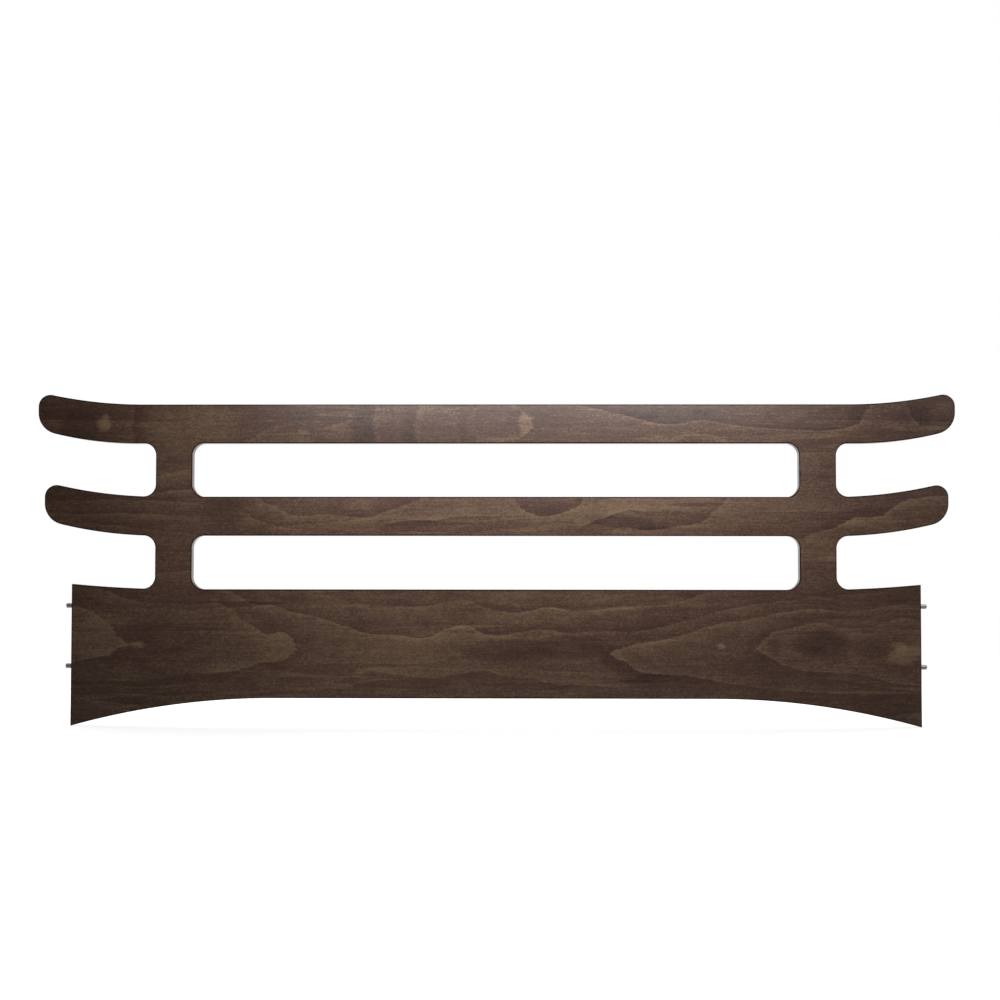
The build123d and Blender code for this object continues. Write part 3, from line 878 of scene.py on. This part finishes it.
def pale_floor(finish):
    """Matt white paint. The camera, and reflections of the floor behind the board, find it washed
    out, with only a faint shade near the board. All other rays find its bounce colour."""
    material, tree = new_material("Matt white floor paint")
    path = add(tree, "ShaderNodeLightPath")
    plain = add(tree, "ShaderNodeBsdfDiffuse", Color=finish.floor_bounce)
    spot = add(tree, "ShaderNodeTexCoord").outputs["Object"]
    away = add(tree, "ShaderNodeVectorMath", spot, (0.5, 1.2, 0.0), operation="MULTIPLY")
    away = add(tree, "ShaderNodeVectorMath", away, operation="LENGTH")
    wash = add(tree, "ShaderNodeMapRange", away.outputs["Value"], 0.40, 0.85, 0.84, 1.0,
               interpolation_type="SMOOTHSTEP")
    glow = add(tree, "ShaderNodeEmission", Strength=wash)
    faint = add(tree, "ShaderNodeBsdfDiffuse", Color=(0.24, 0.24, 0.24, 1.0))
    washed = add(tree, "ShaderNodeAddShader", glow, faint)
    depth = add(tree, "ShaderNodeSeparateXYZ", spot).outputs["Y"]
    behind = add(tree, "ShaderNodeMapRange", depth, 0.1, 0.4)
    mirrored_part = add(tree, "MULTIPLY", path.outputs["Is Glossy Ray"], behind)
    bare = add(tree, "MAXIMUM", path.outputs["Is Camera Ray"], mirrored_part)
    shown = add(tree, "ShaderNodeMixShader", bare, plain, washed)
    add(tree, "ShaderNodeOutputMaterial", Surface=shown)
    return material


# The studio. A lamp's size is its width and height in metres.

Lamp = namedtuple("Lamp", "name place aim size watts mirrored")

LAMPS = [
    Lamp("key", (0.10, -0.56, 0.90), (0.10, 0.0, 0.50), (1.25, 0.30), 8.2, True),
    Lamp("side_right", (1.25, -0.70, 0.75), (0.91, 0.0, 0.20), (0.4, 0.4), 0.45, True),
    Lamp("end_left", (-1.55, 0.50, 1.30), (-0.90, 0.0, 0.35), (0.7, 1.3), 15.0, False),
    Lamp("end_right", (1.55, 0.50, 1.30), (0.90, 0.0, 0.35), (0.7, 1.3), 20.0, False),
    Lamp("back", (0.0, 1.30, 1.20), (0.0, 0.0, 0.35), (2.0, 0.6), 28.0, False),
]
FLOOR_REACH = 8                          # the floor goes this far to each side
CAMERA_PLACE = (0.0551, -3.4693, 0.3432)
CAMERA_TURN = (92.253, -0.055, 0.736)    # degrees about X, Y and Z
CAMERA_LENS = 58.645                     # focal length in millimetres
SENSOR_WIDTH = 36.0                      # millimetres


def studio_world():
    """White for the camera. Reflections find it white behind the board up to a low height, grey
    overhead and towards the right, and dim elsewhere. All other rays find a low fill."""
    world = bpy.data.worlds.new("Studio")
    world.use_nodes = True
    tree = world.node_tree
    tree.nodes.clear()
    path = add(tree, "ShaderNodeLightPath")
    way = add(tree, "ShaderNodeTexCoord").outputs["Object"]
    axes = add(tree, "ShaderNodeSeparateXYZ", way)
    behind = add(tree, "ShaderNodeMapRange", axes.outputs["Y"], 0.75, 0.95,
                 interpolation_type="SMOOTHSTEP")
    raised = add(tree, "ShaderNodeMapRange", axes.outputs["Z"], 0.08, 0.24, 1.0, 0.2,
                 interpolation_type="SMOOTHSTEP")
    overhead = add(tree, "ShaderNodeMapRange", axes.outputs["Z"], 0.45, 0.75,
                   interpolation_type="SMOOTHSTEP")
    rightward = add(tree, "ShaderNodeMapRange", axes.outputs["X"], -0.3, 0.3, 0.15, 0.8)
    overhead = add(tree, "MULTIPLY", overhead, rightward)
    seen = add(tree, "MULTIPLY_ADD", behind, raised, overhead)
    mirrored_level = add(tree, "ShaderNodeMapRange", seen, 0.0, 1.0, 0.03, 1.0)
    level = add(tree, "ShaderNodeMix", path.outputs["Is Glossy Ray"], 0.03, mirrored_level,
                data_type="FLOAT")
    level = add(tree, "ShaderNodeMix", path.outputs["Is Camera Ray"], level, 1.0, data_type="FLOAT")
    sky = add(tree, "ShaderNodeBackground", Color=(1.0, 1.0, 1.0, 1.0), Strength=level)
    add(tree, "ShaderNodeOutputWorld", Surface=sky)
    return world


def area_light(lamp):
    """A soft rectangular lamp that the camera doesn't see, nor reflections unless mirrored."""
    light = bpy.data.lights.new(lamp.name, "AREA")
    light.shape = "RECTANGLE"
    light.size, light.size_y = lamp.size
    light.energy = lamp.watts
    holder = bpy.data.objects.new(lamp.name, light)
    holder.location = lamp.place
    way = Vector(lamp.aim) - Vector(lamp.place)
    holder.rotation_euler = way.to_track_quat("-Z", "Y").to_euler()
    holder.visible_camera = False
    holder.visible_glossy = lamp.mirrored
    bpy.context.scene.collection.objects.link(holder)


class HEADBOARD_OT_front_face(bpy.types.Operator):
    """Builds the front face ply with its figured veneer"""

    bl_idname = "headboard.front_face"
    bl_label = "Front Face"

    def execute(self, context):
        make_ply(context, PLY_NODES[0], face_veneer(context.scene.headboard_finish))
        return {"FINISHED"}


class HEADBOARD_OT_back_face(bpy.types.Operator):
    """Builds the back face ply"""

    bl_idname = "headboard.back_face"
    bl_label = "Back Face"

    def execute(self, context):
        make_ply(context, PLY_NODES[-1], back_veneer(context.scene.headboard_finish))
        return {"FINISHED"}


class HEADBOARD_OT_inner_plies(bpy.types.Operator):
    """Builds the plies between the two faces, alternately cross and long grain"""

    bl_idname = "headboard.inner_plies"
    bl_label = "Inner Plies"

    def execute(self, context):
        finish = context.scene.headboard_finish
        fibres = {"cross": Vector((0, 0, 1)), "long": Vector((1, 0, 0))}
        edges = {name: ply_edge(finish, way) for name, way in fibres.items()}
        for node in PLY_NODES[1:-1]:
            make_ply(context, node, edges["cross" if "cross" in node else "long"])
        return {"FINISHED"}


class HEADBOARD_OT_pins(bpy.types.Operator):
    """Gives the four pins their turned steel"""

    bl_idname = "headboard.pins"
    bl_label = "Pins"

    def execute(self, context):
        steel = turned_steel(context.scene.headboard_finish)
        for node in PIN_NODES:
            piece = frame["nodes"][node]
            piece.data.materials.clear()
            piece.data.materials.append(steel)
        return {"FINISHED"}


class HEADBOARD_OT_studio(bpy.types.Operator):
    """Sets up the floor, the lights, the world and the camera"""

    bl_idname = "headboard.studio"
    bl_label = "Studio"

    def execute(self, context):
        scene = context.scene
        mesh = bpy.data.meshes.new("floor")
        signs = ((-1, -1), (1, -1), (1, 1), (-1, 1))
        corners = [(FLOOR_REACH * x, FLOOR_REACH * y, 0) for x, y in signs]
        mesh.from_pydata(corners, [], [(0, 1, 2, 3)])
        floor = bpy.data.objects.new("floor", mesh)
        mesh.materials.append(pale_floor(scene.headboard_finish))
        scene.collection.objects.link(floor)
        for lamp in LAMPS:
            area_light(lamp)
        scene.world = studio_world()
        camera = bpy.data.objects.new("camera", bpy.data.cameras.new("camera"))
        camera.data.lens = CAMERA_LENS
        camera.data.sensor_width = SENSOR_WIDTH
        camera.location = CAMERA_PLACE
        camera.rotation_euler = [math.radians(angle) for angle in CAMERA_TURN]
        scene.collection.objects.link(camera)
        scene.camera = camera
        scene.view_settings.view_transform = "Standard"
        return {"FINISHED"}


class HEADBOARD_PT_panel(bpy.types.Panel):
    """Sizes, colours and steps of the headboard."""

    bl_label = "Headboard"
    bl_space_type = "VIEW_3D"
    bl_region_type = "UI"
    bl_category = "Headboard"

    def draw(self, context):
        for title, group in (("Sizes", context.scene.headboard_sizes),
                             ("Finish", context.scene.headboard_finish)):
            box = self.layout.box()
            box.label(text=title)
            for name in group.__annotations__:
                box.prop(group, name)
        for step in STEPS:
            self.layout.operator(step.bl_idname)


STEPS = (HEADBOARD_OT_front_face, HEADBOARD_OT_inner_plies, HEADBOARD_OT_back_face,
         HEADBOARD_OT_pins, HEADBOARD_OT_studio)
CLASSES = (HeadboardSizes, HeadboardFinish) + STEPS + (HEADBOARD_PT_panel,)


def register():
    for cls in CLASSES:
        bpy.utils.register_class(cls)
    bpy.types.Scene.headboard_sizes = bpy.props.PointerProperty(type=HeadboardSizes)
    bpy.types.Scene.headboard_finish = bpy.props.PointerProperty(type=HeadboardFinish)


def unregister():
    del bpy.types.Scene.headboard_finish
    del bpy.types.Scene.headboard_sizes
    for cls in reversed(CLASSES):
        bpy.utils.unregister_class(cls)


def main():
    register()
    bpy.ops.headboard.front_face()
    bpy.ops.headboard.inner_plies()
    bpy.ops.headboard.back_face()
    bpy.ops.headboard.pins()
    bpy.ops.headboard.studio()


if __name__ == "__main__":
    main()
